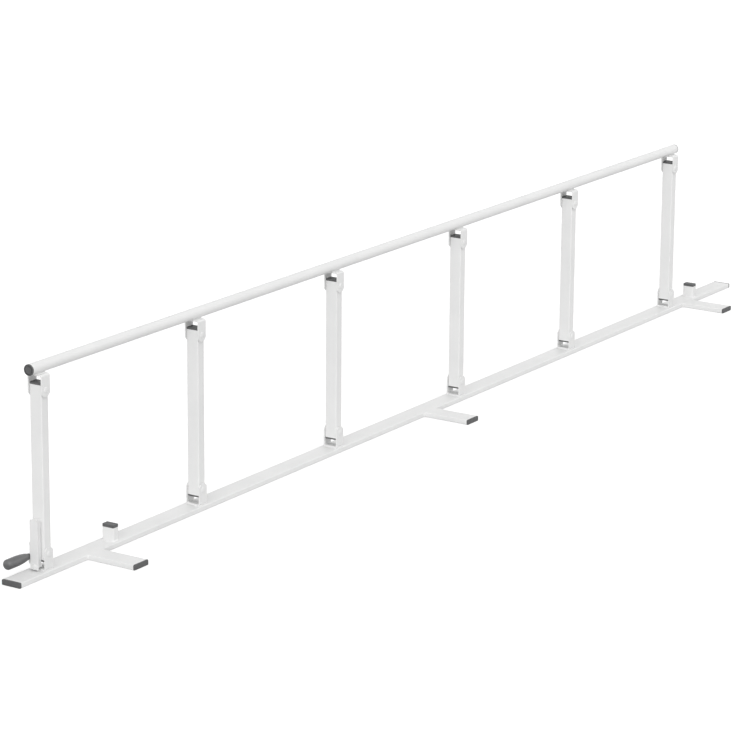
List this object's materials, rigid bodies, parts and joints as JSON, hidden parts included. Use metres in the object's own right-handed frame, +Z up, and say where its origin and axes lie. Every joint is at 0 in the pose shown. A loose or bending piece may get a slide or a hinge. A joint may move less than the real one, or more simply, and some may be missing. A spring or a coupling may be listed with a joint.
{
  "type": "folding bed guard rail",
  "caption": "Low steel guard rail for a bed side: hinged posts carry a round top rail that stays level as it folds down, with a spring latch at one end and flat feet that go under the mattress.",
  "frame": {"origin": "underside of the base rail, halfway along it and on its centreline", "axes": "+X along the rail, away from the latch and the way the rail folds; -Y the way the feet point, under the mattress; +Z up"},
  "size_m": [2.055, 0.1147, 0.3],
  "materials": {
    "white_steel": "white powder coat, satin",
    "black_plug": "moulded, dark grey",
    "black_grip": "moulded, dark grey, satin",
    "spring_steel": "bare spring wire"
  },
  "bodies": {
    "root": {"base_rail": "white_steel", "base_plug_left": "black_plug", "base_plug_right": "black_plug", "stop_plug_left": "black_plug", "stop_plug_right": "black_plug", "foot_left": "white_steel", "foot_middle": "white_steel", "foot_right": "white_steel", "foot_plug_left": "black_plug", "foot_plug_middle": "black_plug", "foot_plug_right": "black_plug", "lower_bracket_1": "white_steel", "lower_bracket_2": "white_steel", "lower_bracket_3": "white_steel", "lower_bracket_4": "white_steel", "lower_bracket_5": "white_steel", "lower_bracket_6": "white_steel", "lower_pin_1": "white_steel", "lower_pin_2": "white_steel", "lower_pin_3": "white_steel", "lower_pin_4": "white_steel", "lower_pin_5": "white_steel", "lower_pin_6": "white_steel"},
    "post_1": {"post_1": "white_steel", "post_bottom_plug_1": "black_plug", "post_top_plug_1": "black_plug", "lock_channel": "white_steel", "lock_spring": "spring_steel"},
    "post_2": {"post_2": "white_steel", "post_bottom_plug_2": "black_plug", "post_top_plug_2": "black_plug"},
    "post_3": {"post_3": "white_steel", "post_bottom_plug_3": "black_plug", "post_top_plug_3": "black_plug"},
    "post_4": {"post_4": "white_steel", "post_bottom_plug_4": "black_plug", "post_top_plug_4": "black_plug"},
    "post_5": {"post_5": "white_steel", "post_bottom_plug_5": "black_plug", "post_top_plug_5": "black_plug"},
    "post_6": {"post_6": "white_steel", "post_bottom_plug_6": "black_plug", "post_top_plug_6": "black_plug"},
    "rail": {"top_rail": "white_steel", "rail_plug_left": "black_plug", "rail_plug_right": "black_plug", "upper_bracket_1": "white_steel", "upper_bracket_2": "white_steel", "upper_bracket_3": "white_steel", "upper_bracket_4": "white_steel", "upper_bracket_5": "white_steel", "upper_bracket_6": "white_steel", "upper_pin_1": "white_steel", "upper_pin_2": "white_steel", "upper_pin_3": "white_steel", "upper_pin_4": "white_steel", "upper_pin_5": "white_steel", "upper_pin_6": "white_steel"},
    "lever": {"lock_lever": "white_steel", "lock_grip": "black_grip"}
  },
  "joints": [
    {"name": "fold_1", "type": "hinge", "parent": "root", "child": "post_1", "pos_m": [-0.96, 0, 0.0305], "axis": [0, 1, 0], "range_deg": [0, 83.8]},
    {"name": "fold_2", "type": "hinge", "parent": "root", "child": "post_2", "pos_m": [-0.606, 0, 0.0305], "axis": [0, 1, 0], "range_deg": [0, 83.8]},
    {"name": "fold_3", "type": "hinge", "parent": "root", "child": "post_3", "pos_m": [-0.252, 0, 0.0305], "axis": [0, 1, 0], "range_deg": [0, 83.8]},
    {"name": "fold_4", "type": "hinge", "parent": "root", "child": "post_4", "pos_m": [0.102, 0, 0.0305], "axis": [0, 1, 0], "range_deg": [0, 83.8]},
    {"name": "fold_5", "type": "hinge", "parent": "root", "child": "post_5", "pos_m": [0.456, 0, 0.0305], "axis": [0, 1, 0], "range_deg": [0, 83.8]},
    {"name": "fold_6", "type": "hinge", "parent": "root", "child": "post_6", "pos_m": [0.81, 0, 0.0305], "axis": [0, 1, 0], "range_deg": [0, 83.8]},
    {"name": "rail_level", "type": "hinge", "parent": "post_3", "child": "rail", "pos_m": [-0.252, 0, 0.2615], "axis": [0, 1, 0], "range_deg": [-83.8, 0]},
    {"name": "lever_lift", "type": "hinge", "parent": "post_1", "child": "lever", "pos_m": [-0.9714, 0, 0.045], "axis": [0, 1, 0], "range_deg": [0, 22], "stiffness_Nm_per_rad": 0.05, "springref_deg": -28.65, "deforming": ["lock_spring"]}
  ],
  "couplings": [
    {"joint": "fold_1", "follows": "fold_3", "ratio": 1},
    {"joint": "fold_2", "follows": "fold_3", "ratio": 1},
    {"joint": "fold_4", "follows": "fold_3", "ratio": 1},
    {"joint": "fold_5", "follows": "fold_3", "ratio": 1},
    {"joint": "fold_6", "follows": "fold_3", "ratio": 1},
    {"joint": "rail_level", "follows": "fold_3", "ratio": -1}
  ]
}
